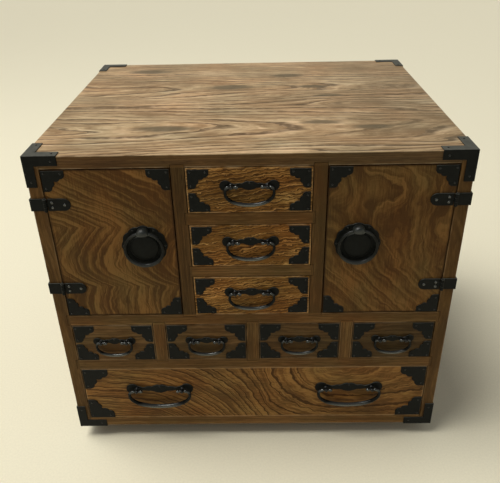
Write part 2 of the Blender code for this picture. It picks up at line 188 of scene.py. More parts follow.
# The case and its parts, from the frame
CASE_LOW = Vector((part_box("left_side")[0].x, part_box("top_board")[0].y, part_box("bottom_board")[0].z))
CASE_HIGH = Vector((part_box("right_side")[1].x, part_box("top_board")[1].y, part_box("top_board")[1].z))
FRONT = CASE_LOW.y
SIDES = ("left", "right")
LEVELS = ("upper", "lower")
SHELVES = ("upper_shelf", "lower_shelf")
RAILS = ("centre_rail_1", "centre_rail_2")
DIVIDERS = ("left_divider", "right_divider")
PARTITIONS = ("small_partition_1", "small_partition_2", "small_partition_3")
DRAWERS = {f"centre_drawer_{number}": "centre" for number in (1, 2, 3)}
DRAWERS.update({f"small_drawer_{number}": "small" for number in (1, 2, 3, 4)})
DRAWERS["bottom_drawer"] = "bottom"

# Boards whose ends lie in housings, along which axis, and in which two neighbours
HOUSED = (
    (SHELVES, "x", "left_side", "right_side"),
    (RAILS, "x", "left_divider", "right_divider"),
    (DIVIDERS, "z", "upper_shelf", "top_board"),
    (PARTITIONS, "z", "lower_shelf", "upper_shelf"),
)

# Edges: how far they are eased, and the angles in degrees up to which shapes are shaded smooth
WOOD_EDGE = 0.4 * MM
HOUSED_EDGE = 0.15 * MM
HINGE_EDGE = 0.2 * MM
SHEET_EDGE = 0.3 * MM
NODE_SMOOTH = 40
SHEET_SMOOTH = 38
TURNED_SMOOTH = 50
ROUND_SMOOTH = 60
FLAT_WITHIN = 1
WELD_WITHIN = 1e-6

# Sheet iron on the wood
SHEET = 1.0 * MM
FITTING_SHEET = 1.2 * MM
CORNER_ARM = 34 * MM
CORNER_WIDTH = 10 * MM
OTHER_AXES = ((1, 2), (0, 2), (0, 1))
PLATE_INSET = {"door": 0.4 * MM, "centre": 1.7 * MM, "small": 0.8 * MM, "bottom": 0.6 * MM}
PLATE_ARM = {"door": 23.5 * MM, "centre": 21.7 * MM, "small": 24 * MM, "bottom": 31 * MM}

# Nails, with the corner plates' nails in shares of an arm
NAIL_PROFILE = ((0, 0), (1, 0), (0.97, 0.22), (0.78, 0.44), (0.45, 0.58), (0, 0.64))
NAIL_RADIUS = 1.15 * MM
HINGE_NAIL_RADIUS = 1.65 * MM
LOBE_NAIL_RADIUS = 0.9 * MM
CORNER_NAIL_AT = 28 * MM
HINGE_NAILS = ((9.0 * MM, 2.9 * MM), (9.0 * MM, -2.9 * MM), (22.0 * MM, 0.0))
LEAF_NAILS = (6.0 * MM, 17.0 * MM)
BACK_NAIL_INSET = 6 * MM
BACK_NAIL_SPACING = 62 * MM
PLATE_NAILS = ((0.12, 0.12), (0.84, 0.14), (0.14, 0.84))

# Ring pulls, the sizes of the frame's own
RING_PLATE_RADIUS = 24.7 * MM
RING_PLATE_LOBES = 12
RING_LOBE_DEPTH = 1.3 * MM
RING_LOBE_STEPS = 10
RING_PLATE_RISE = 2.0 * MM
RING_RADIUS = 20.2 * MM
RING_WIRE = 2.2 * MM
RING_TAPER = 0.76
RING_STEPS = 90
RING_NAILS = 6
RING_NAILS_FROM = 30
RING_NAIL_RADIUS = 22.3 * MM
DISC_RADIUS = 15.5 * MM
DISC_HEIGHT = 2.6 * MM
DISC_PROFILE = (
    (0, 0), (1, 0), (1, 0.3), (0.965, 0.52), (0.92, 0.62), (0.85, 0.72), (0.72, 0.86), (0.5, 0.96), (0, 1),
)
BOSS_RADIUS = 6.6 * MM
BOSS_HALF = 6.9 * MM
BOSS_PROFILE = ((0, 0), (1, 0), (1, 0.46), (0.94, 0.64), (0.82, 0.79), (0.62, 0.91), (0.34, 0.98), (0, 1))
HOOD_LIP = 0.4 * MM

# Bail handles
HANDLES = {
    "centre": Handle(
        post_spacing=37 * MM, ear_overhang=12 * MM, ear_radius=6 * MM, waist=3.4 * MM, lobe_width=31 * MM,
        lobe_height=10 * MM, bail_overhang=8.5 * MM, bail_drop=22.5 * MM, wire=4.2 * MM,
    ),
    "small": Handle(
        post_spacing=30 * MM, ear_overhang=10 * MM, ear_radius=5 * MM, waist=3 * MM, lobe_width=25.5 * MM,
        lobe_height=8.4 * MM, bail_overhang=7.5 * MM, bail_drop=20.5 * MM, wire=3.8 * MM,
    ),
    "bottom": Handle(
        post_spacing=56 * MM, ear_overhang=13.5 * MM, ear_radius=7.8 * MM, waist=4.6 * MM,
        lobe_width=42 * MM, lobe_height=13 * MM, bail_overhang=12 * MM, bail_drop=27.5 * MM, wire=5 * MM,
    ),
}
EAR_SPAN = 140
PLATE_STEPS = 22
CUSP_SHARE = 0.78
SIDE_LOBE_AT = 0.66
LOBE_NAIL_SHARE = 0.32
POST_RADIUS = 2.8 * MM
POST_FIT = 0.3 * MM
POST_PROFILE = (
    (0, 0), (1.05, 0), (1.0, 0.1), (0.72, 0.2), (0.66, 0.3), (0.78, 0.45), (0.80, 0.62), (0.70, 0.8),
    (0.42, 0.95), (0, 1),
)
PIN_RADIUS = 1.3 * MM
KNOB_RADIUS = 2.0 * MM
KNOB_LENGTH = 4.4 * MM
KNOB_PROFILE = ((0.02, 0.75), (0.2, 1.0), (0.45, 1.08), (0.7, 0.95), (0.9, 0.65), (1.0, 0.25))
SHOULDER = 6 * MM
SHOULDER_STEPS = 8
BAIL_END_SHARE = 0.36
BAIL_SQUARENESS = 0.92
BAIL_STEPS = 24

# Colours of the woods
FRONT_WOOD = Palette(
    line=(0.034, 0.014, 0.004),
    dark=(0.095, 0.045, 0.013),
    middle=(0.158, 0.079, 0.022),
    light=(0.243, 0.130, 0.039),
    worn_and_lit=(0.360, 0.225, 0.105),
)
CENTRE_WOOD = Palette(
    line=(0.034, 0.013, 0.003),
    dark=(0.115, 0.051, 0.011),
    middle=(0.220, 0.113, 0.029),
    light=(0.365, 0.204, 0.068),
    worn_and_lit=(0.450, 0.290, 0.140),
)
FRAME_WOOD = Palette(
    line=(0.050, 0.024, 0.008),
    dark=(0.090, 0.046, 0.014),
    middle=(0.132, 0.070, 0.022),
    light=(0.185, 0.101, 0.035),
    worn_and_lit=(0.360, 0.235, 0.120),
)
SMALL_WOOD = Palette(
    line=(0.047, 0.025, 0.009),
    dark=(0.085, 0.046, 0.016),
    middle=(0.125, 0.070, 0.025),
    light=(0.175, 0.101, 0.040),
    worn_and_lit=(0.345, 0.235, 0.130),
)
TOP_WOOD = Palette(
    line=(0.070, 0.038, 0.015),
    dark=(0.252, 0.159, 0.078),
    middle=(0.436, 0.303, 0.165),
    light=(0.650, 0.478, 0.292),
    worn_and_lit=(0.520, 0.390, 0.240),
)
PALE_WOOD = Palette(
    line=(0.300, 0.200, 0.105),
    dark=(0.400, 0.285, 0.165),
    middle=(0.500, 0.375, 0.230),
    light=(0.590, 0.465, 0.305),
)
BACK_WOOD = Palette(
    line=(0.080, 0.045, 0.020),
    dark=(0.130, 0.080, 0.040),
    middle=(0.190, 0.120, 0.062),
    light=(0.260, 0.170, 0.092),
    worn_and_lit=(0.330, 0.230, 0.140),
)
TONE_STOPS = (0.05, 0.50, 0.95)
OLIVE_TINT = (0.90, 1.01, 1.06)
ORANGE_TINT = (1.11, 0.985, 0.90)

# Each board's shade of its wood, where it isn't 1
SHADES = {
    "bottom_board": 1.18, "lower_shelf": 0.90, "left_side": 0.80, "right_side": 0.80,
    "left_divider": 0.60, "right_divider": 0.82, "left_door_stop": 0.60, "right_door_stop": 0.60,
    "small_partition_1": 0.82, "small_partition_2": 0.89, "small_partition_3": 1.03,
    "top_board_front": 0.70, "left_door": 0.81, "right_door": 0.72, "bottom_drawer": 1.22,
    "centre_drawer_1": 1.26, "centre_drawer_2": 1.48, "centre_drawer_3": 1.48,
    "small_drawer_1": 0.96, "small_drawer_2": 0.84, "small_drawer_3": 0.66, "small_drawer_4": 0.58,
}

# Grains, in millimetres
PLAIN_GRAIN = Grain(
    axis="x", spacing=4.0, drift=10.0, drift_size=120.0, stretch=0.35, wave=2.0, wave_size=20.0,
    line=0.60, line_width=0.45, contrast=2.2,
)
SIDE_GRAIN = Grain(
    axis="z", spacing=9.0, drift=24.0, drift_size=70.0, stretch=0.3, wave=4.0, wave_size=20.0,
    line=0.80, line_width=0.30, contrast=1.6, hue=0.6,
)
BACK_GRAIN = SIDE_GRAIN._replace(
    spacing=7.0, drift=20.0, drift_size=80.0, wave_size=22.0, line=0.5, line_width=0.35, contrast=1.2,
    hue=0.5,
)
FOLDED_GRAIN = Grain(
    axis="z", spacing=10.0, drift=16.0, drift_size=60.0, stretch=0.8, wave=7.0, wave_size=12.0,
    line=0.70, line_width=0.13, fade=0.60, contrast=1.85, fibre=1.5, ring_tone=0.30, glint=0.9,
)
SLANTED_GRAIN = FOLDED_GRAIN._replace(
    spacing=12.5, drift=8.0, stretch=0.9, wave_size=13.0, line=0.60, line_width=0.09, contrast=1.65,
    fade=0.45, ring_tone=0.22, glint=1.0,
)
TOP_GRAIN = Grain(
    axis="x", spacing=6.6, drift=28.0, drift_size=45.0, stretch=0.20, wave=4.0, wave_size=13.0,
    line=1.5, line_width=0.29, fade=0.50, contrast=1.55, fibre=2.8, broken=0.4, ring_tone=0.25, hue=0.6,
)
BARE_GRAIN = PLAIN_GRAIN._replace(
    axis="y", spacing=5.0, drift=14.0, drift_size=90.0, stretch=0.15, wave_size=25.0, line_width=0.35,
    contrast=0.9, hue=0.5,
)
BOTTOM_GRAIN = Grain(
    axis="x", spacing=7.0, drift=7.0, drift_size=40.0, stretch=0.6, wave=5.0, wave_size=9.0,
    line=5.0, line_width=0.20, fade=0.35, contrast=2.3, ring_tone=0.15,
)
CENTRE_GRAIN = Grain(
    axis="x", spacing=3.5, drift=7.0, drift_size=28.0, stretch=0.55, wave=7.0, wave_size=4.8,
    line=4.4, line_width=0.44, fade=0.7, contrast=2.3, fibre=0.9, broken=0.6, ring_tone=0.2,
)
SMALL_GRAIN = Grain(
    axis="x", spacing=5.5, drift=12.0, drift_size=40.0, stretch=0.45, wave=5.0, wave_size=8.0,
    line=0.90, line_width=0.35, contrast=1.8, ring_tone=0.5,
)

# Marks that all woods share, and how far each one counts
WAVE_STRETCH = 1.3
RING_UNEVENNESS = 2.2
LINE_GAPS = Mark(stretch=0.45, size=4.5, detail=1.0)
LINE_LEAST = 0.4
LINE_FIBRES = 1.8
LINE_DEPTH = 0.85
FIBRES = Mark(stretch=0.06, size=1.1, detail=3.0, roughness=0.65)
FIBRE_TONE = 0.9
STREAKS_IN_RING = 5.0
STREAK_STRETCH = 0.035
STREAK_SHIFT = 9.0
STREAK_TONE = 1.2
PORES = Mark(stretch=0.10, size=0.9, detail=1.5)
PORE_DEPTH = 0.40
DARKEST = 0.9
CLOUDS = Mark(stretch=0.6, size=55.0, detail=2.0)
CLOUD_TONE = 0.8
FADES = Mark(stretch=0.7, size=40.0, detail=1.0)
FADE_SWING = 3.2
FADE_LOSS = 0.8
FADE_MIDDLE = 0.45
GLINT_WIDTH = 0.07
HUES = Mark(stretch=0.5, size=34.0, detail=2.0)
HUE_SWING = 2.4

# The woods' surface, and their edges: pale with wear and a painted highlight, or dark with painted shade
WOOD_ROUGHNESS = 0.40
FIBRE_ROUGHNESS = 0.16
PORE_ROUGHNESS = 0.15
WEAR_ROUGHNESS = 0.12
BARE_DULLNESS = 0.22
WOOD_SPECULAR = 0.07
TOP_SPECULAR = 0.13
WOOD_BUMP = 0.16 * MM
WOOD_BUMP_STRENGTH = 0.35
FIBRE_HEIGHT = 0.5
LINE_HEIGHT = 0.6
EDGE_NOISE_FROM = 0.33
EDGE_NOISE_SLOPE = 3.5
PALE_EDGED = ("left_side", "right_side", "bottom_board", "back_panel")
DRAWER_EDGE_EVENNESS = {"centre": -0.15, "small": 0.0, "bottom": 0.75}
TOP_ARRIS = 0.6
DRAWER_FRONT = 15.0

# Stains on the top. The last of them is not a stain but a broad painted shade, darker towards the top's
# right
STAIN_AND_SHADE_COLOUR = (0.090, 0.070, 0.039)
DARK_PLACE_STREAKS = Mark(stretch=0.12, size=5.0, detail=3.0, roughness=0.7)
DARK_PLACE_STREAKING = 1.6
DARK_PLACE_FALL = 1.3
DARK_PLACE_FULL = 1.25
STAINS_AND_SHADE = (
    DarkPlace(-27, 54, length=36, width=14),
    DarkPlace(83, 52, length=26, width=8),
    DarkPlace(-94, -98, length=42, width=11),
    DarkPlace(80, -84, length=30, width=8),
    DarkPlace(135, -101, length=26, width=8),
    DarkPlace(100, 13, length=24, width=6),
    DarkPlace(-149, 138, length=36, width=14),
    DarkPlace(52, 106, length=30, width=10),
    # A broad painted shade over the top's right side, darker there
    DarkPlace(300, -20, length=260, width=400, depth=0.30),
)

# How far rings lean through a board and rise along a centre drawer, and how the top's two rows blend
SLIGHT_LEAN = 0.4
LEAN = 0.5
STRONG_LEAN = 0.6
CENTRE_RISE = 0.16
TOP_BLEND = 12.0

# The left door's fold: heights, and how far its rings are thrown to the right there
FOLD = (
    (201, 4), (225, 4), (241, 10), (254, -12), (267, -24), (280, -25), (301, -14), (318, -2), (334, -24),
    (345, -46), (385, -118),
)
FOLD_TIPS = (2, 7)
FOLD_ORIGIN = 120.0
OPEN_FROM = 318.0
OPEN_OVER = 40
OPENING = 0.36

# The right door's slant, which is looser and more wavy above a height
SLANT = 0.72
SLANT_ORIGIN = 145.0
SLANT_WAVE_SIZE = 46.0
SLANT_WAVES = 12.0
LOOSE_FROM = 262.0
LOOSE_OVER = 60
LOOSENING = 0.30
LOOSE_SLANT = 0.12
LOOSE_WAVES = 34.0

# The bottom drawer's heart, which shows few rings, and the level rings at its left
HEART_X = 100.0
HEART_Z = 122.0
HEART_RADIUS = 44.0
HEART_RIM = 6
HEART_REACH = 200
HEART_TAIL = 0.3
HEART_RINGS = 0.58
LEVEL_FROM = 20.0
LEVEL_OVER = 140

# Iron
IRON_COLOURS = ((0.0018, 0.0025, 0.0024), (0.0050, 0.0062, 0.0057), (0.0075, 0.0064, 0.0045))
IRON_STOPS = (0.35, 0.62, 0.80)
MOTTLE_ROUGHNESS = 0.30
GRIT_ROUGHNESS = 0.16
GRIT_HEIGHT = 0.25
IRON_BUMP = 0.12 * MM
IRON_BUMP_STRENGTH = 0.4
DUST_AND_SHEEN_COLOUR = (0.100, 0.102, 0.087)
DUST_AND_SHEEN_LEAST = 0.3
RUBBED_COLOUR = (0.112, 0.118, 0.115)
RUBBED_MIDDLE = 0.55


class Value:
    """A number or vector that varies over a surface: a node's output, with arithmetic."""

    def __init__(self, graph, socket):
        self.graph = graph
        self.socket = socket

    def math(self, operation, *others, clamp=False):
        inputs = dict(enumerate((self, *others)))
        return self.graph.add("ShaderNodeMath", inputs, operation=operation, use_clamp=clamp)

    __add__ = partialmethod(math, "ADD")
    __sub__ = partialmethod(math, "SUBTRACT")
    __mul__ = partialmethod(math, "MULTIPLY")
    __pow__ = partialmethod(math, "POWER")
    __neg__ = partialmethod(math, "MULTIPLY", -1.0)
    __abs__ = partialmethod(math, "ABSOLUTE")
    least = partialmethod(math, "MINIMUM")
    most = partialmethod(math, "MAXIMUM")
    clamped = partialmethod(math, "ADD", 0.0, clamp=True)


class Graph:
    """The nodes of a material or of the world. Each call adds one and returns its output as a Value."""

    def __init__(self, owner):
        owner.use_nodes = True
        self.owner = owner
        self.tree = owner.node_tree

    def put(self, value, socket):
        if isinstance(value, Value):
            self.tree.links.new(value.socket, socket)
        else:
            socket.default_value = value

    def add(self, kind, inputs, output=0, **settings):
        node = self.tree.nodes.new(kind)
        for name, setting in settings.items():
            setattr(node, name, setting)
        for name, value in inputs.items():
            self.put(value, node.inputs[name])
        return Value(self, node.outputs[output])

    def part(self, vector, axis):
        return self.add("ShaderNodeSeparateXYZ", {0: vector}, output=axis)

    def place(self):
        """X, Y and Z on the piece at rest, in millimetres."""
        point = self.add("ShaderNodeTexCoord", {}, output="Object")
        return [self.part(point, axis) * (1 / MM) for axis in "XYZ"]

    def vector(self, x, y=0.0, z=0.0):
        return self.add("ShaderNodeCombineXYZ", {0: x, 1: y, 2: z})

    def noise(self, vector, size, detail, roughness=0.5):
        inputs = {"Vector": vector, "Scale": 1 / size, "Detail": detail, "Roughness": roughness}
        return self.add("ShaderNodeTexNoise", inputs)

    def mix(self, share, first, second, blend="MIX"):
        colours = [colour if isinstance(colour, Value) else (*colour, 1.0) for colour in (first, second)]
        inputs = {0: share, 6: colours[0], 7: colours[1]}
        return self.add("ShaderNodeMix", inputs, output=2, data_type="RGBA", blend_type=blend)

    def ramp(self, share, positions, colours):
        ramp = self.add("ShaderNodeValToRGB", {0: share})
        elements = ramp.socket.node.color_ramp.elements
        while len(elements) < len(positions):
            elements.new(1.0)
        for element, position, colour in zip(elements, positions, colours):
            element.position = position
            element.color = (*colour, 1.0)
        return ramp

    def curve(self, share, points, sharp):
        """A smooth curve through points between 0 and 1, apart from its sharp corners."""
        value = self.add("ShaderNodeFloatCurve", {"Value": share})
        mapping = value.socket.node.mapping
        line = mapping.curves[0].points
        line[0].location = points[0]
        line[1].location = points[-1]
        for point in points[1:-1]:
            line.new(*point)
        for number in sharp:
            line[number].handle_type = "VECTOR"
        mapping.update()
        return value

    def finish(self, colour, roughness, height, depth, strength, specular):
        """Links the surface, colour, roughness and a bump of height times depth, and returns its shader."""
        bump = self.add("ShaderNodeBump", {"Height": height, "Distance": depth, "Strength": strength})
        shader = self.tree.nodes["Principled BSDF"]
        self.put(colour, shader.inputs["Base Color"])
        self.put(roughness, shader.inputs["Roughness"])
        self.put(bump, shader.inputs["Normal"])
        shader.inputs["Specular IOR Level"].default_value = specular
        return shader


def rise(value, start, slope):
    """A share that grows from 0 at a start, and stops at 1."""
    return ((value - start) * slope).clamped()


def marks(graph, place, axis, mark):
    """A noise that is drawn out along the grain."""
    point = [value * mark.stretch if name == axis else value for name, value in zip("xyz", place)]
    return graph.noise(graph.vector(*point), mark.size, mark.detail, mark.roughness)


def edge_distance(place, box):
    """Millimetres from a point on a box to its nearest edge: the second least distance to a face."""
    low, high = box
    to_face = []
    for value, start, end in zip(place, low, high):
        middle = (start + end) / 2 / MM
        half = (end - start) / 2 / MM
        to_face.append(-abs(value - middle) + half)
    a, b, c = to_face
    return a.least(b).most(a.most(b).least(c))


def lengthened(box, axis):
    """The same box, much longer along one axis, so that no point is near its ends."""
    more = Vector(1.0 if name == axis else 0.0 for name in "xyz")
    return box[0] - more, box[1] + more


def beyond(axis, level, way):
    """The stretch of a board above a level on an axis, in millimetres, or below it for a way of -1."""
    operation = "GREATER_THAN" if way > 0 else "LESS_THAN"

    def where(*place):
        return place["xyz".index(axis)].math(operation, level)

    return where


def wood_colour(graph, place, look):
    """The colour of ring-porous wood, with its ring lines, pores and fibres as shares for its surface."""
    grain, palette, figure, showing = look

    def noise(mark):
        return marks(graph, place, grain.axis, mark)

    drift = noise(Mark(grain.stretch, grain.drift_size, detail=1.5)) - 0.5
    wave = noise(Mark(grain.stretch * WAVE_STRETCH, grain.wave_size, detail=2.0)) - 0.5
    rings = (figure(*place) + drift * grain.drift + wave * grain.wave) * (1 / grain.spacing)
    uneven = graph.noise(graph.vector(rings), size=RING_UNEVENNESS, detail=1.0) - 0.5
    rings = rings + uneven * RING_UNEVENNESS
    phase = rings.math("FRACT")
    number = rings.math("FLOOR")
    own = graph.add("ShaderNodeTexWhiteNoise", {"W": number}, noise_dimensions="1D")

    line = (phase * (-2 / grain.line_width) + 2.0).clamped() * (own * (1 - LINE_LEAST) + LINE_LEAST)
    unbroken = rise(noise(LINE_GAPS), start=0.34, slope=5.0)
    line = line * (unbroken * grain.broken + (1 - grain.broken))
    if showing:
        line = line * showing(*place)

    along = place["xyz".index(grain.axis)]
    streaks = graph.vector(rings * STREAKS_IN_RING, along * STREAK_STRETCH, own * STREAK_SHIFT)
    streaks = graph.noise(streaks, size=1.0, detail=3.0, roughness=0.6) - 0.5
    fibres = noise(FIBRES._replace(size=grain.fibre)) - 0.5
    pores = rise(noise(PORES), start=0.58, slope=7.0)
    cloud = noise(CLOUDS) - 0.5
    fade = (noise(FADES) * FADE_SWING - FADE_LOSS).clamped()
    tone = (-phase + FADE_MIDDLE) * fade * grain.fade
    tone = tone + streaks * STREAK_TONE + fibres * FIBRE_TONE + cloud * CLOUD_TONE
    tone = (tone + (own - 0.5) * grain.ring_tone) * grain.contrast + 0.5

    darkness = line * grain.line * (fibres * LINE_FIBRES + LINE_DEPTH) + pores * PORE_DEPTH
    glint = (abs(phase - grain.line_width - GLINT_WIDTH) * (-1 / GLINT_WIDTH) + 1.0).clamped() * own
    colour = graph.ramp(tone, TONE_STOPS, (palette.dark, palette.middle, palette.light))
    colour = graph.mix(glint * grain.glint, colour, palette.light)
    colour = graph.mix(darkness.clamped() * DARKEST, colour, palette.line)
    hue = ((noise(HUES) - 0.5) * HUE_SWING * grain.hue + 0.5).clamped()
    tint = graph.mix(hue, OLIVE_TINT, ORANGE_TINT)
    return graph.mix(1.0, colour, tint, "MULTIPLY"), line, pores, fibres


def wood(node, look, edge, specular=WOOD_SPECULAR, patches=(), stains_and_shade=()):
    """A stained and lacquered board, with stains and a broad painted shade laid on where given, edges pale
    with wear and painted highlight or dark with painted shade, and with another wood on its patches.
    """
    graph = Graph(bpy.data.materials.new(f"{node}_wood"))
    place = graph.place()
    colour, line, pores, fibres = wood_colour(graph, place, look)
    roughness = fibres * FIBRE_ROUGHNESS + pores * PORE_ROUGHNESS + WOOD_ROUGHNESS
    shares = [patch.where(*place) for patch in patches]
    for patch, share in zip(patches, shares):
        colour = graph.mix(share, colour, wood_colour(graph, place, patch.look)[0])
        roughness = roughness + share * patch.dullness
    # Stains, and the broad painted shade on the top's right, laid over the colour
    for dark_place in stains_and_shade:
        colour = graph.mix(dark_place_share(graph, place, dark_place), colour, STAIN_AND_SHADE_COLOUR)
    # A band along the edges, pale for wear and painted highlight, or dark for painted shade
    edge_noise = graph.noise(graph.vector(*place), size=16.0, detail=3.0)
    edge_noise = ((edge_noise - EDGE_NOISE_FROM) * EDGE_NOISE_SLOPE + edge.evenness).clamped()
    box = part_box(node) if edge.ends else lengthened(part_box(node), look.grain.axis)
    edge_wear_and_light = (edge_distance(place, box) * (-1 / edge.width) + 1.0).clamped() * edge_noise
    if not edge.ends:
        for share in shares:
            edge_wear_and_light = edge_wear_and_light * (-share + 1.0)
    colour = graph.mix(edge_wear_and_light * edge.strength, colour, edge.colour)
    roughness = roughness + edge_wear_and_light * WEAR_ROUGHNESS
    height = fibres * FIBRE_HEIGHT - pores - line * LINE_HEIGHT
    graph.finish(colour, roughness, height, WOOD_BUMP, WOOD_BUMP_STRENGTH, specular)
    return graph.owner


def dark_place_share(graph, place, dark_place):
    """How dark a stain, or the broad painted shade, on the top board is: drawn out along the grain and
    streaked by it.
    """
    x, y, _ = place
    along = (x - dark_place.x) * (1 / dark_place.length)
    across = (y - dark_place.y) * (1 / dark_place.width)
    streak = marks(graph, place, "x", DARK_PLACE_STREAKS) - 0.5
    away = along * along + across * across
    return (streak * DARK_PLACE_STREAKING - away * DARK_PLACE_FALL + DARK_PLACE_FULL).clamped() * dark_place.depth


def shaded(palette, board):
    """A wood in one board's own shade."""
    share = SHADES.get(board, 1.0)
    return Palette(*(tuple(channel * share for channel in colour) for colour in palette))


def cathedral(across, along, heart, depth, slope):
    """Rings round a heart that sinks away along the board: nested pointed arches."""
    offset = across - heart
    under = along * slope + depth
    return (offset * offset + under * under) ** 0.5


def top_figure(x, y, z):
    """Two rows of pointed arches along the board, with their tips to the right."""
    rear = cathedral(y, x, heart=52.0, depth=45.0, slope=0.06)
    near = cathedral(y, x, heart=-98.0, depth=48.0, slope=0.06)
    return rear.math("SMOOTH_MIN", near, TOP_BLEND) + z * SLIGHT_LEAN


def side_figure(x, y, z):
    return cathedral(y, z, heart=25.0, depth=30.0, slope=0.09) + x * LEAN


def left_door_figure(x, y, z):
    """Upright rings thrown into two folds, and wider apart above the upper fold."""
    low, high = FOLD[0][0], FOLD[-1][0]
    least = min(throw for _, throw in FOLD)
    most = max(throw for _, throw in FOLD)
    points = [((height - low) / (high - low), (throw - least) / (most - least)) for height, throw in FOLD]
    throw = z.graph.curve((z - low) * (1 / (high - low)), points, FOLD_TIPS) * (most - least) + least
    spread = rise(z, OPEN_FROM, 1 / OPEN_OVER) * -OPENING + 1.0
    return (x - throw + FOLD_ORIGIN) * spread + y * SLIGHT_LEAN


def right_door_figure(x, y, z):
    """Rings that run down to the right, wider apart and more wavy towards the top."""
    graph = z.graph
    loose = rise(z, LOOSE_FROM, 1 / LOOSE_OVER)
    across = (x - SLANT_ORIGIN) * (loose * -LOOSENING + SLANT)
    climb = z.least(LOOSE_FROM) * SLANT + (z - LOOSE_FROM).most(0.0) * LOOSE_SLANT
    waves = graph.noise(graph.vector(x, y, z), SLANT_WAVE_SIZE, detail=1.0) - 0.5
    return across + climb + waves * (loose * LOOSE_WAVES + SLANT_WAVES) + y * SLIGHT_LEAN


def heart_distance(x, z):
    """The distance from the bottom drawer's heart, drawn out to both sides."""
    across = x - HEART_X
    left = (across.least(0.0) * (1 / HEART_REACH)).math("TANH") * HEART_REACH
    across = left + across.most(0.0) * HEART_TAIL
    down = -z + HEART_Z
    return (across * across + down * down) ** 0.5


def bottom_figure(x, y, z):
    """Rings round a heart at the upper right, which level out to the left."""
    level = ((-x + LEVEL_FROM) * (1 / LEVEL_OVER)).clamped() * (-z + HEART_Z)
    return heart_distance(x, z) * HEART_RINGS + level + y * SLIGHT_LEAN


def round_heart(x, y, z):
    """Ring lines show only outside the heart."""
    return rise(heart_distance(x, z), HEART_RADIUS, 1 / HEART_RIM)


def lying(x, y, z):
    return z + y * LEAN


def rising(x, y, z):
    return z - x * CENTRE_RISE + y * LEAN


def upright(x, y, z):
    return x + y * LEAN


def deep(x, y, z):
    return x + z * STRONG_LEAN


def boxed(x, y, z):
    """Rings that run from front to back, closer together on upright boards."""
    return z + x * STRONG_LEAN


def iron(name, roughness, specular, polish=0.0, shade=1.0, mottling=1.0, dust_and_sheen=0.0):
    """Blackened iron: mottled, hammered, paler on top with dust and a painted sheen, and rubbed bright at a
    pull's top and foot.
    """
    graph = Graph(bpy.data.materials.new(name))
    point = graph.vector(*graph.place())
    mottle = graph.noise(point, size=6.0, detail=3.0)
    grit = graph.noise(point, size=0.8, detail=2.0)
    dents = graph.noise(point, size=3.2, detail=1.0)
    colours = [tuple(channel * shade for channel in colour) for colour in IRON_COLOURS]
    colour = graph.ramp(mottle, IRON_STOPS, colours)
    # Upward faces paler: dust, and a painted sheen of the light from above
    if dust_and_sheen:
        up = graph.part(graph.add("ShaderNodeTexCoord", {}, output="Normal"), "Z")
        dust_and_sheen_share = rise(up, start=0.6, slope=4.0) * (mottle + DUST_AND_SHEEN_LEAST) * dust_and_sheen
        colour = graph.mix(dust_and_sheen_share.clamped(), colour, DUST_AND_SHEEN_COLOUR)
    uneven = ((mottle - 0.5) * MOTTLE_ROUGHNESS + (grit - 0.5) * GRIT_ROUGHNESS) * mottling
    height = dents + grit * GRIT_HEIGHT
    strength = IRON_BUMP_STRENGTH * mottling
    shader = graph.finish(colour, uneven + roughness, height, IRON_BUMP, strength, specular)
    if polish:
        level = graph.part(graph.add("ShaderNodeTexCoord", {}, output="Generated"), "Z")
        rubbed = rise(abs(level - RUBBED_MIDDLE), start=0.25, slope=5.0) * polish
        graph.put(rubbed, shader.inputs["Metallic"])
        graph.put(graph.mix(rubbed, colour, RUBBED_COLOUR), shader.inputs["Base Color"])
    return graph.owner


# Materials that many pieces share
PLATE_IRON = iron("plate_iron", roughness=0.52, specular=0.11, dust_and_sheen=0.85)
BAIL_IRON = iron("bail_iron", roughness=0.17, specular=0.10, polish=1.0, mottling=0.35)
RING_IRON = iron("ring_iron", roughness=0.22, specular=0.14, polish=0.3, mottling=0.35)
POST_IRON = iron("post_iron", roughness=0.34, specular=0.32)
# The boss's pale grey is partly its own and partly a painted reflection of the bright surroundings
BOSS_IRON = iron("boss_iron", roughness=0.42, specular=0.50, shade=3.5)
NAIL_IRON = iron("nail_iron", roughness=0.30, specular=0.36)
RUBBED_IRON = iron("rubbed_iron", roughness=0.24, specular=0.90, shade=5.0)


def add_object(name, data):
    obj = bpy.data.objects.new(name, data)
    bpy.context.scene.collection.objects.link(obj)
    return obj


def ease_edges(obj, width, angle):
    """Rounds the edges that are sharper than an angle in degrees."""
    bevel = obj.modifiers.new("edge", "BEVEL")
    bevel.width = width
    bevel.segments = 2
    bevel.limit_method = "ANGLE"
    bevel.angle_limit = math.radians(angle)


def add_mesh(name, shape, material):
    mesh = bpy.data.meshes.new(name)
    shape.to_mesh(mesh)
    shape.free()
    mesh.materials.append(material)
    return add_object(name, mesh)


def piece(name, shape, body, material, bevel=0.0, smooth=SHEET_SMOOTH):
    """Turns a bmesh into a piece that rides on a body, smooth except at its sharp edges."""
    bmesh.ops.recalc_face_normals(shape, faces=shape.faces)
    obj = add_mesh(name, shape, material)
    obj.data.shade_smooth()
    obj.data.set_sharp_from_angle(angle=math.radians(smooth))
    if bevel:
        ease_edges(obj, bevel, smooth)
    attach(obj, body)
    return obj


def arc(centre, radius, start, end, steps):
    """Points on an arc between two angles in degrees."""
    turns = [math.radians(start + (end - start) * i / steps) for i in range(steps + 1)]
    return [(centre[0] + radius * math.cos(a), centre[1] + radius * math.sin(a)) for a in turns]


def sheet(points, place, thickness):
    """A flat plate cut to an outline. place turns its plane and its outward normal into the frame."""
    shape = bmesh.new()
    rear = [shape.verts.new(place @ Vector((u, v, 0))) for u, v in points]
    face = [shape.verts.new(place @ Vector((u, v, thickness))) for u, v in points]
    shape.faces.new(face)
    shape.faces.new(list(reversed(rear)))
    for i in range(len(points)):
        j = (i + 1) % len(points)
        shape.faces.new((rear[i], rear[j], face[j], face[i]))
    return shape


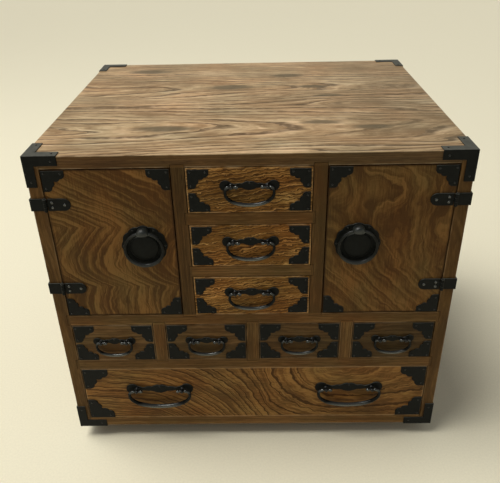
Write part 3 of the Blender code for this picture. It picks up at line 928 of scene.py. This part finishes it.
def add_turned(shape, profile, radius, height, place, sides):
    """A round shape along the normal. Its profile, in shares, starts and ends on its axis."""
    turns = [2 * math.pi * i / sides for i in range(sides)]
    rings = []
    for out, up in profile:
        reach = out * radius
        points = [(reach * math.cos(a), reach * math.sin(a)) for a in turns] if out else [(0, 0)]
        rings.append([shape.verts.new(place @ Vector((u, v, up * height))) for u, v in points])
    for first, second in zip(rings, rings[1:]):
        for i in range(sides):
            j = (i + 1) % sides
            corners = [first[i % len(first)], first[j % len(first)]]
            corners += [second[j % len(second)], second[i % len(second)]]
            shape.faces.new(list(dict.fromkeys(corners)))


def tube(points, radii, sides, closed=False):
    """A round wire along points in one plane that faces along Y."""
    shape = bmesh.new()
    count = len(points)
    turns = [2 * math.pi * k / sides for k in range(sides)]
    out = Vector((0, 1, 0))
    rings = []
    for i, (point, radius) in enumerate(zip(points, radii)):
        before = points[(i - 1) % count] if closed or i else point
        after = points[(i + 1) % count] if closed or i < count - 1 else point
        side = (after - before).normalized().cross(out)
        ring = [point + radius * (math.cos(a) * side + math.sin(a) * out) for a in turns]
        rings.append([shape.verts.new(corner) for corner in ring])
    pairs = list(zip(rings, rings[1:]))
    if closed:
        pairs.append((rings[-1], rings[0]))
    else:
        shape.faces.new(rings[0])
        shape.faces.new(list(reversed(rings[-1])))
    for first, second in pairs:
        for k in range(sides):
            n = (k + 1) % sides
            shape.faces.new((first[k], second[k], second[n], first[n]))
    return shape


def facing(origin, across, up):
    """A place whose plane runs along across and up, with its normal out of that plane."""
    across, up = Vector(across), Vector(up)
    turn = Matrix((across, up, across.cross(up))).transposed().to_4x4()
    return Matrix.Translation(Vector(origin)) @ turn


def on_front(x, z, y=FRONT):
    return facing((x, y, z), (1, 0, 0), (0, 0, 1))


def add_nail(nails, place, radius=NAIL_RADIUS):
    add_turned(nails, NAIL_PROFILE, radius, radius, place, sides=14)


def nail_piece(name, nails, body, material=NAIL_IRON):
    piece(name, nails, body, material, smooth=ROUND_SMOOTH)


def make_corner_iron(name, corner, inward, nails):
    """Three angle irons in one, along the three edges that meet at a corner of the case."""
    steps = (-SHEET, 0, CORNER_WIDTH, CORNER_ARM)

    def filled(cell):
        """Cells of iron lie outside the case, over one face, within an arm's width of an edge."""
        return all(0 <= i <= 2 for i in cell) and 0 in cell and sorted(cell)[1] < 2

    shape = bmesh.new()
    corners = {}

    def vertex(key):
        if key not in corners:
            offset = Vector(steps[i] * way for i, way in zip(key, inward))
            corners[key] = shape.verts.new(corner + offset)
        return corners[key]

    for cell in filter(filled, product(range(3), repeat=3)):
        for (axis, (first, second)), end in product(enumerate(OTHER_AXES), (0, 1)):
            beside = list(cell)
            beside[axis] += 2 * end - 1
            if filled(beside):
                continue
            loop = []
            for a, b in ((0, 0), (1, 0), (1, 1), (0, 1)):
                key = list(cell)
                key[axis] += end
                key[first] += a
                key[second] += b
                loop.append(vertex(tuple(key)))
            shape.faces.new(loop)
    flat = math.radians(FLAT_WITHIN)
    bmesh.ops.dissolve_limit(shape, angle_limit=flat, verts=shape.verts, edges=shape.edges)
    piece(name, shape, "case", PLATE_IRON, SHEET_EDGE)

    for axis, others in enumerate(OTHER_AXES):
        for long, short in (others, reversed(others)):
            offset = Vector((0, 0, 0))
            offset[axis] = -SHEET * inward[axis]
            offset[long] = CORNER_NAIL_AT * inward[long]
            offset[short] = CORNER_WIDTH / 2 * inward[short]
            normal = Vector((0, 0, 0))
            normal[axis] = -inward[axis]
            turn = Vector((0, 0, 1)).rotation_difference(normal).to_matrix().to_4x4()
            add_nail(nails, Matrix.Translation(corner + offset) @ turn)


def ends(names, low, high):
    """The two ends of a span: their names, their places and the ways inward."""
    return tuple(zip(names, (low, high), (1, -1)))


def make_corner_irons():
    nails = bmesh.new()
    low, high = CASE_LOW, CASE_HIGH
    heights = ends(("lower", "upper"), low.z, high.z)
    depths = ends(("front", "rear"), low.y, high.y)
    for (height, z, up), (depth, y, back) in product(heights, depths):
        for side, x, across in ends(SIDES, low.x, high.x):
            name = f"{height}_{depth}_{side}_corner_iron"
            make_corner_iron(name, Vector((x, y, z)), (across, back, up), nails)
    return nails


def panel_plate_points(arm):
    """A corner plate with two rounded lobes on each arm and a notch where the arms meet."""
    outer = arc((0.80, 0.20), radius=0.20, start=-12, end=95, steps=8)
    inner = arc((0.615, 0.355), radius=0.165, start=17, end=118, steps=7)
    half = [(1.0, 0.0)] + outer + inner
    points = [(0.0, 0.0)] + half + [(v, u) for u, v in reversed(half)]
    return [(u * arm, v * arm) for u, v in points]


def make_panel_plates(panel, kind, nails):
    """The four corner plates of a door or drawer front."""
    arm = PLATE_ARM[kind]
    inset = PLATE_INSET[kind]
    low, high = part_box(panel)
    heights = ends(("lower", "upper"), low.z, high.z)
    for (height, z, up), (side, x, across) in product(heights, ends(SIDES, low.x, high.x)):
        corner = (x + across * inset, FRONT, z + up * inset)
        mirror = Matrix(((across, 0, 0, 0), (0, 0, -1, 0), (0, up, 0, 0), (0, 0, 0, 1)))
        shape = sheet(panel_plate_points(arm), Matrix.Translation(corner) @ mirror, SHEET)
        piece(f"{panel}_{height}_{side}_plate", shape, panel, PLATE_IRON, SHEET_EDGE)
        for u, v in PLATE_NAILS:
            nail_x = corner[0] + across * u * arm
            nail_z = corner[2] + up * v * arm
            add_nail(nails, on_front(nail_x, nail_z, FRONT - SHEET))


def swell(share):
    """A smooth bump that is 1 at its middle and 0 at its end."""
    return math.cos(math.pi / 2 * min(abs(share), 1)) ** 2


def lobe_edge(share, middle, half_width, side_height):
    """The height of a plate's middle lobe and the lower one beside it, at a share of its half width."""
    beside = side_height * swell((share - SIDE_LOBE_AT) / (1 - SIDE_LOBE_AT))
    return max(swell((share - middle) / half_width), beside)


def handle_plate_points(sizes):
    """The right half of a bat-wing plate from bottom to top, and the left half as its mirror image."""
    ear_x = sizes.post_spacing / 2 + sizes.ear_overhang - sizes.ear_radius
    lobe = sizes.lobe_width / 2
    waist = sizes.waist / 2
    swelling = sizes.lobe_height / 2 - waist
    right = []
    shares = [i / PLATE_STEPS for i in range(PLATE_STEPS + 1)]
    for share in shares:
        drop = lobe_edge(share, middle=0, half_width=0.72, side_height=0.26)
        right.append((lobe * share, -waist - swelling * drop))
    right += arc((ear_x, 0), sizes.ear_radius, -EAR_SPAN, EAR_SPAN, 2 * PLATE_STEPS)
    for share in reversed(shares[1:]):
        height = lobe_edge(share, middle=0.12, half_width=0.55, side_height=0.34)
        right.append((lobe * share, waist + swelling * height))
    return right + [(0, waist + swelling * CUSP_SHARE)] + [(-x, z) for x, z in reversed(right[1:])]


def bail_line(sizes):
    """The bail's middle line and radii, from its lowest point to the knob behind one post."""
    post = sizes.post_spacing / 2
    side = post + sizes.bail_overhang - sizes.wire / 2
    bottom = sizes.bail_drop - sizes.wire / 2
    inner = post - POST_RADIUS - POST_FIT
    outer = post + POST_RADIUS + POST_FIT
    points, radii = [], []
    for i in range(BAIL_STEPS + 1):
        angle = math.radians(90 - 90 * i / BAIL_STEPS)
        x = side * math.cos(angle) ** BAIL_SQUARENESS
        z = -SHOULDER - (bottom - SHOULDER) * math.sin(angle) ** BAIL_SQUARENESS
        points.append((x, z))
        radii.append(sizes.wire * (BAIL_END_SHARE + (0.5 - BAIL_END_SHARE) * math.sin(angle)))
    for i in range(1, SHOULDER_STEPS + 1):
        angle = math.radians(90 * i / SHOULDER_STEPS)
        points.append((outer + (side - outer) * math.cos(angle), SHOULDER * (math.sin(angle) - 1)))
        radii.append(sizes.wire * BAIL_END_SHARE)
    points += [(outer - POST_FIT, 0), (inner, 0)]
    radii += [PIN_RADIUS, PIN_RADIUS]
    for share, swelling in KNOB_PROFILE:
        points.append((inner - share * KNOB_LENGTH, 0))
        radii.append(swelling * KNOB_RADIUS)
    return points, radii


def make_handle(name, drawer, bail_body, sizes, nails):
    """A bat-wing plate with two posts and a nail, and the bail that swings in the posts."""
    axis = AXIS_AT[bail_body]
    plate_low, plate_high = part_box(f"{name}_plate")
    face = plate_high.y - FITTING_SHEET
    place = on_front(axis.x, axis.z, plate_high.y)
    shape = sheet(handle_plate_points(sizes), place, plate_high.y - face)
    plate = piece(f"{name}_bat_plate", shape, drawer, PLATE_IRON, SHEET_EDGE)
    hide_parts(f"{name}_plate")
    shape = bmesh.new()
    for side in (-1, 1):
        place = on_front(axis.x + side * sizes.post_spacing / 2, axis.z, face)
        add_turned(shape, POST_PROFILE, POST_RADIUS, face - plate_low.y, place, sides=24)
    piece(f"{name}_posts", shape, drawer, POST_IRON, smooth=TURNED_SMOOTH)
    nail_z = axis.z + LOBE_NAIL_SHARE * sizes.lobe_height
    add_nail(nails, on_front(axis.x, nail_z, face), LOBE_NAIL_RADIUS)
    half, half_radii = bail_line(sizes)
    line = [(-x, z) for x, z in reversed(half[1:])] + half
    radii = list(reversed(half_radii[1:])) + half_radii
    shape = tube([axis + Vector((x, 0, z)) for x, z in line], radii, sides=18)
    bail = piece(f"{name}_forged_bail", shape, bail_body, BAIL_IRON, smooth=ROUND_SMOOTH)
    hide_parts(f"{name}_bail")


def ring_plate_points():
    """The scalloped outline of a ring pull's plate."""
    count = RING_PLATE_LOBES * RING_LOBE_STEPS
    points = []
    for i in range(count):
        angle = 2 * math.pi * i / count
        radius = RING_PLATE_RADIUS - RING_LOBE_DEPTH * (1 - abs(math.cos(RING_PLATE_LOBES * angle / 2)))
        points.append((radius * math.sin(angle), -radius * math.cos(angle)))
    return points


def cut_below(shape, level):
    """Cuts off what lies below a point's height, and closes the cut."""
    everything = shape.verts[:] + shape.edges[:] + shape.faces[:]
    bmesh.ops.bisect_plane(shape, geom=everything, plane_co=level, plane_no=(0, 0, 1), clear_inner=True)
    bmesh.ops.edgeloop_fill(shape, edges=[edge for edge in shape.edges if edge.is_boundary])


def make_ring_pull(door, ring_body, nails):
    """A scalloped plate with a raised disc and a boss like a hood, and the ring that swings under it."""
    axis = AXIS_AT[ring_body]
    plate_low, plate_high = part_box(f"{ring_body}_plate")
    drop = math.sqrt(RING_RADIUS**2 - BOSS_HALF**2)
    centre_z = axis.z - drop
    plate_z = centre_z + RING_PLATE_RISE
    face = plate_high.y - FITTING_SHEET
    place = on_front(axis.x, plate_z, plate_high.y)
    shape = sheet(ring_plate_points(), place, plate_high.y - face)
    plate = piece(f"{ring_body}_scalloped_plate", shape, door, PLATE_IRON, SHEET_EDGE)
    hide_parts(f"{ring_body}_plate")
    shape = bmesh.new()
    place = on_front(axis.x, centre_z, face)
    add_turned(shape, DISC_PROFILE, DISC_RADIUS, DISC_HEIGHT, place, sides=64)
    piece(f"{ring_body}_disc", shape, door, PLATE_IRON, smooth=TURNED_SMOOTH)
    shape = bmesh.new()
    place = on_front(axis.x, axis.z, face)
    add_turned(shape, BOSS_PROFILE, BOSS_RADIUS, face - plate_low.y, place, sides=40)
    cut_below(shape, axis - Vector((0, 0, HOOD_LIP)))
    piece(f"{ring_body}_boss", shape, door, BOSS_IRON, smooth=TURNED_SMOOTH)
    start = math.degrees(math.atan2(drop, BOSS_HALF))
    line = arc((0, -drop), RING_RADIUS, start, -180 - start, RING_STEPS)
    points = [axis + Vector((x, 0, z)) for x, z in line]
    falls = [-z / (drop + RING_RADIUS) for _, z in line]
    radii = [RING_WIRE * (RING_TAPER + (1 - RING_TAPER) * fall) for fall in falls]
    shape = tube(points, radii, sides=20, closed=True)
    ring = piece(f"{ring_body}_forged_ring", shape, ring_body, RING_IRON, smooth=ROUND_SMOOTH)
    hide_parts(ring_body)
    for i in range(RING_NAILS):
        angle = math.radians(RING_NAILS_FROM + 360 * i / RING_NAILS)
        x = axis.x + RING_NAIL_RADIUS * math.sin(angle)
        z = plate_z + RING_NAIL_RADIUS * math.cos(angle)
        add_nail(nails, on_front(x, z, face))


def make_hinge_nails(hinge, door):
    """Three nails in the strap on the door, and two in the leaf on the case's side."""
    low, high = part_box(f"{hinge}_strap")
    leaf_low, leaf_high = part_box(f"{hinge}_leaf")
    z = (low.z + high.z) / 2
    face = high.y - FITTING_SHEET
    way = 1 if leaf_low.x < low.x else -1
    knuckle = low.x if way > 0 else high.x
    nails = bmesh.new()
    for reach, height in HINGE_NAILS:
        add_nail(nails, on_front(knuckle + way * reach, z + height, face), HINGE_NAIL_RADIUS)
    nail_piece(f"{hinge}_strap_nails", nails, door, RUBBED_IRON)
    outside = leaf_low.x if way > 0 else leaf_high.x
    nails = bmesh.new()
    for depth in LEAF_NAILS:
        place = facing((outside, FRONT + depth, z), (0, -way, 0), (0, 0, 1))
        add_nail(nails, place, HINGE_NAIL_RADIUS)
    nail_piece(f"{hinge}_leaf_nails", nails, "case", RUBBED_IRON)


def spaced(low, high):
    """Even places between two ends, about a back nail's spacing apart."""
    count = round((high - low) / BACK_NAIL_SPACING)
    return [low + (high - low) * i / count for i in range(count + 1)]


def add_back_nails(nails):
    """A row of nails along each edge of the back panel."""
    low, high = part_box("back_panel")
    inset = Vector((BACK_NAIL_INSET, 0, BACK_NAIL_INSET))
    low, high = low + inset, high - inset
    places = [(x, z) for x in spaced(low.x, high.x) for z in (low.z, high.z)]
    places += [(x, z) for x in (low.x, high.x) for z in spaced(low.z, high.z)[1:-1]]
    for x, z in places:
        add_nail(nails, facing((x, high.y, z), (-1, 0, 0), (0, 0, 1)))


def make_ironwork():
    case_nails = make_corner_irons()
    add_back_nails(case_nails)
    for side in SIDES:
        nails = bmesh.new()
        door = f"{side}_door"
        make_panel_plates(door, "door", nails)
        make_ring_pull(door, f"{side}_ring", nails)
        for level in LEVELS:
            make_hinge_nails(f"{side}_{level}_hinge", door)
        nail_piece(f"{door}_nails", nails, door)
    for drawer, kind in DRAWERS.items():
        nails = bmesh.new()
        make_panel_plates(drawer, kind, nails)
        handles = [drawer] if kind != "bottom" else [f"{drawer}_{side}" for side in SIDES]
        for handle in handles:
            make_handle(f"{handle}_handle", drawer, f"{handle}_bail", HANDLES[kind], nails)
        nail_piece(f"{drawer}_nails", nails, drawer)
    nail_piece("case_nails", case_nails, "case")


def finish_node(node, material, edge):
    """Gives a CAD node its material, and eases its edges."""
    obj = NODES[node]
    for slot in obj.material_slots:
        slot.material = material
    weld = obj.modifiers.new("weld", "WELD")
    weld.merge_threshold = WELD_WITHIN
    ease_edges(obj, edge, NODE_SMOOTH)


def case_looks():
    """The wood of each board of the case and of the doors, apart from the top board's top."""
    y_grain = PLAIN_GRAIN._replace(axis="y")
    z_grain = PLAIN_GRAIN._replace(axis="z")
    kinds = (
        (("left_side", "right_side"), SIDE_GRAIN, FRAME_WOOD, side_figure),
        (("left_door",), FOLDED_GRAIN, FRONT_WOOD, left_door_figure),
        (("right_door",), SLANTED_GRAIN, FRONT_WOOD, right_door_figure),
        (("back_panel",), BACK_GRAIN, BACK_WOOD, upright),
        (("bottom_board", "top_board_front", *SHELVES, *RAILS), PLAIN_GRAIN, FRAME_WOOD, lying),
        ((*DIVIDERS, "left_door_stop", "right_door_stop", *PARTITIONS), z_grain, FRAME_WOOD, upright),
        (("left_runner", "right_runner"), y_grain, FRAME_WOOD, deep),
    )
    looks = {}
    for boards, grain, palette, figure in kinds:
        for board in boards:
            looks[board] = Look(grain, shaded(palette, board), figure)
    return looks


def case_edge(node, palette):
    """How a board's edges show: pale with wear and a painted highlight, or dark with painted shade along
    the gaps between parts.
    """
    # Pale edges: wear, and a painted highlight on the lit arris
    if node in PALE_EDGED:
        return Edge(palette.worn_and_lit)
    if node in SHELVES + PARTITIONS:
        return Edge(palette.worn_and_lit, strength=0.5, width=1.4)
    # Doors: a wide dark edge, painted shade for the gap round each door
    if node.endswith("_door"):
        return Edge(palette.line, strength=0.9, width=2.4, evenness=0.7)
    # Other boards: a dark edge, painted shade along their joints and gaps
    return Edge(palette.line, strength=0.55, evenness=0.3)


def housed_ends(node, looks):
    """The ends of a board that lie in its neighbours' housings, which show the neighbours' wood."""
    for boards, axis, before, after in HOUSED:
        if node in boards:
            low = getattr(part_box(before)[1], axis) / MM
            high = getattr(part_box(after)[0], axis) / MM
            first = Patch(beyond(axis, low, -1), looks[before])
            return [first, Patch(beyond(axis, high, 1), looks[after])]
    return []


def finish_case():
    """The wood of the case and the doors. The top board's front shows the frame's wood."""
    looks = case_looks()
    top_front = looks.pop("top_board_front")
    neighbours = {**looks, "top_board": top_front}
    for node, look in looks.items():
        housed = housed_ends(node, neighbours)
        edge = case_edge(node, look.palette)._replace(ends=not housed)
        finish_node(node, wood(node, look, edge, patches=housed), HOUSED_EDGE if housed else WOOD_EDGE)
    top = Look(TOP_GRAIN, TOP_WOOD, top_figure)
    rim = [Patch(beyond("z", CASE_HIGH.z / MM - TOP_ARRIS, -1), top_front)]
    material = wood("top_board", top, Edge(TOP_WOOD.worn_and_lit), TOP_SPECULAR, rim, STAINS_AND_SHADE)
    finish_node("top_board", material, WOOD_EDGE)


def finish_drawers():
    """Figured wood on the drawers' fronts, and bare wood behind them."""
    kinds = {
        "centre": Look(CENTRE_GRAIN, CENTRE_WOOD, rising),
        "small": Look(SMALL_GRAIN, SMALL_WOOD, lying),
        "bottom": Look(BOTTOM_GRAIN, FRONT_WOOD, bottom_figure, round_heart),
    }
    bare = Look(BARE_GRAIN, PALE_WOOD, boxed)
    inside = [Patch(beyond("y", FRONT / MM + DRAWER_FRONT, 1), bare, BARE_DULLNESS)]
    for drawer, kind in DRAWERS.items():
        look = kinds[kind]._replace(palette=shaded(kinds[kind].palette, drawer))
        # Pale edges round each drawer front: wear, and a painted highlight where the arris catches the
        # light
        edge = Edge(look.palette.worn_and_lit, strength=0.85, evenness=DRAWER_EDGE_EVENNESS[kind])
        finish_node(drawer, wood(drawer, look, edge, patches=inside), WOOD_EDGE)


def finish_hinges():
    for side, level, part in product(SIDES, LEVELS, ("leaf", "strap")):
        finish_node(f"{side}_{level}_hinge_{part}", PLATE_IRON, HINGE_EDGE)


def make_floor():
    shape = bmesh.new()
    bmesh.ops.create_grid(shape, x_segments=FLOOR_SQUARES, y_segments=FLOOR_SQUARES, size=FLOOR_SIZE / 2)
    graph = Graph(bpy.data.materials.new("floor"))
    fleck = graph.noise(graph.vector(*graph.place()), FLECK_SIZE, detail=3.0)
    pale = tuple(min(channel * FLECK_SHADE, 1.0) for channel in FLOOR_COLOUR)
    colour = graph.ramp(fleck, FLECK_STOPS, (FLOOR_COLOUR, pale))
    roughness = fleck * FLECK_ROUGHNESS + FLOOR_ROUGHNESS
    graph.finish(colour, roughness, fleck, depth=0.3 * MM, strength=0.3, specular=0.1)
    floor = add_mesh("floor", shape, graph.owner)


def make_world():
    """A dim even light, and a pale backdrop under a dim ceiling that camera and gloss see."""
    world = bpy.data.worlds.new("studio")
    bpy.context.scene.world = world
    graph = Graph(world)
    light = graph.tree.nodes["Background"]
    light.inputs["Color"].default_value = (*AMBIENT_COLOUR, 1.0)
    light.inputs["Strength"].default_value = AMBIENT
    up = graph.part(graph.add("ShaderNodeTexCoord", {}, output="Generated"), "Z")
    colour = graph.ramp(up, (CEILING_FROM, CEILING_FULL), (BACKDROP_COLOUR, CEILING_COLOUR))
    backdrop = graph.add("ShaderNodeBackground", {"Color": colour})
    rays = ("Is Camera Ray", "Is Glossy Ray", "Is Transmission Ray")
    camera, gloss, glass = (graph.add("ShaderNodeLightPath", {}, output=ray) for ray in rays)
    inputs = {0: camera.most(gloss).most(glass), 1: Value(graph, light.outputs[0]), 2: backdrop}
    both = graph.add("ShaderNodeMixShader", inputs)
    graph.put(both, graph.tree.nodes["World Output"].inputs["Surface"])


def add_light(name, kind, place, aim, power):
    light = bpy.data.lights.new(name, kind)
    light.energy = power
    light.color = LAMP_COLOUR
    obj = add_object(name, light)
    obj.location = place
    obj.rotation_euler = (Vector(aim) - Vector(place)).to_track_quat("-Z", "Y").to_euler()
    return light


def make_lights():
    """Broad light from above on the left, and a softbox nearer on that side."""
    sun = add_light("overhead", "SUN", SUN_FROM, (0, 0, 0), SUN_STRENGTH)
    sun.angle = math.radians(SUN_SPREAD)
    softbox = add_light("softbox", "AREA", SOFTBOX_PLACE, SOFTBOX_AIM, SOFTBOX_POWER)
    softbox.size = SOFTBOX_SIZE


def make_camera():
    camera = bpy.data.cameras.new("camera")
    camera.sensor_fit = "HORIZONTAL"
    camera.lens = CAMERA_LENS
    camera.shift_y = CAMERA_SHIFT_Y
    camera.clip_start = CAMERA_NEAR
    obj = add_object("camera", camera)
    obj.location = CAMERA_PLACE
    obj.rotation_euler = [math.radians(angle) for angle in CAMERA_TURN]
    bpy.context.scene.camera = obj


bpy.context.scene.view_settings.view_transform = "Standard"
make_camera()
make_floor()
make_world()
make_lights()
finish_case()
finish_drawers()
finish_hinges()
make_ironwork()
